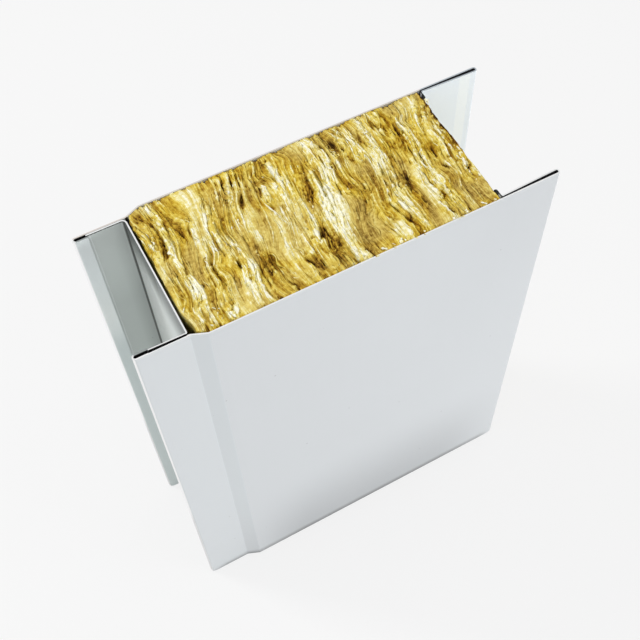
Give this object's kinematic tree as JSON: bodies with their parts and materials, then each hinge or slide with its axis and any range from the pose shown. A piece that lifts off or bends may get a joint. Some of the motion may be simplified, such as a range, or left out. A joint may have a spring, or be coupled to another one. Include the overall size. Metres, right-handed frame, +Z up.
{
  "type": "insulated sandwich panel",
  "caption": "Stocky cut sample of an insulated wall panel: folded white steel skins with a tongue edge and a groove edge, glued to a mineral wool core.",
  "frame": {"origin": "middle of the lower sawn end, where the panel stands on the floor", "axes": "+Z up along the panel, +X across its cover width from the tongue edge to the groove edge, +Y through its thickness from the front skin to the back skin"},
  "size_m": [0.14, 0.05, 0.19],
  "materials": {
    "skin_paint": "satin grey-white coil coating on steel sheet, with thin bright sawn edges",
    "channel_paint": "satin white coil coating on folded steel sheet",
    "mineral_wool": "matt golden mineral wool, strands lying across the thickness, rough sawn ends"
  },
  "bodies": {
    "root": {"front_skin": "skin_paint", "back_skin": "skin_paint", "edge_channel": "channel_paint", "mineral_wool_core": "mineral_wool"}
  },
  "joints": []
}
